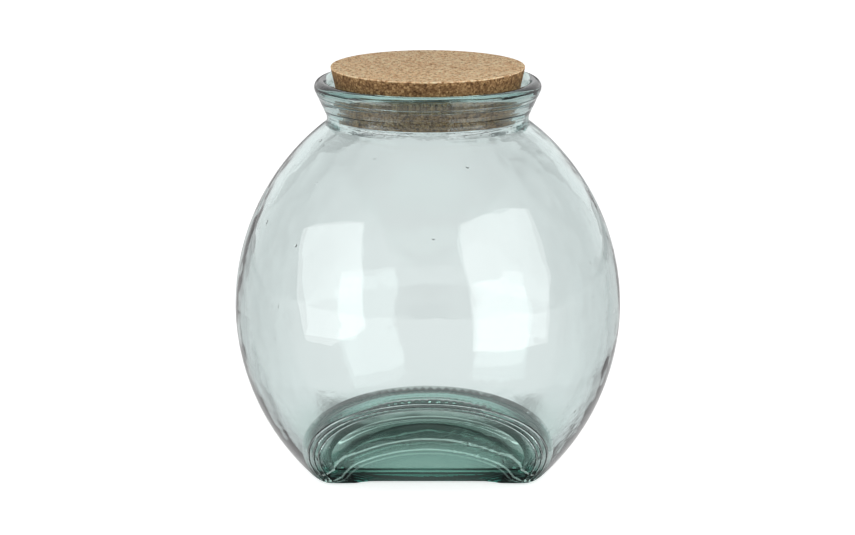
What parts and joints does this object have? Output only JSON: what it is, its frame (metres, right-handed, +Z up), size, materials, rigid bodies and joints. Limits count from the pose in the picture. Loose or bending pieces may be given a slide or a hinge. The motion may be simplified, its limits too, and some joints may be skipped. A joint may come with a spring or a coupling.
{
  "type": "glass jar with cork lid",
  "caption": "Round storage jar of thick pale green glass with a flared collar, a second flat resting face low on its front, and a tapered cork stopper.",
  "frame": {"origin": "on the jar's axis, in the plane of the foot's standing ring", "axes": "+Z up the jar's axis, towards the stopper; -Y towards the side that has the tilt face"},
  "size_m": [0.25, 0.25, 0.27],
  "materials": {
    "recycled_glass": "clear pale green, smooth with faint waves",
    "cork": "matt, fine pressed cork granules"
  },
  "bodies": {
    "jar": {"glass_jar": "recycled_glass"},
    "lid": {"cork_lid": "cork"}
  },
  "joints": [
    {"name": "cork_lift", "type": "slide", "parent": "jar", "child": "lid", "axis": [0, 0, 1], "range_m": [0, 0.09]}
  ]
}
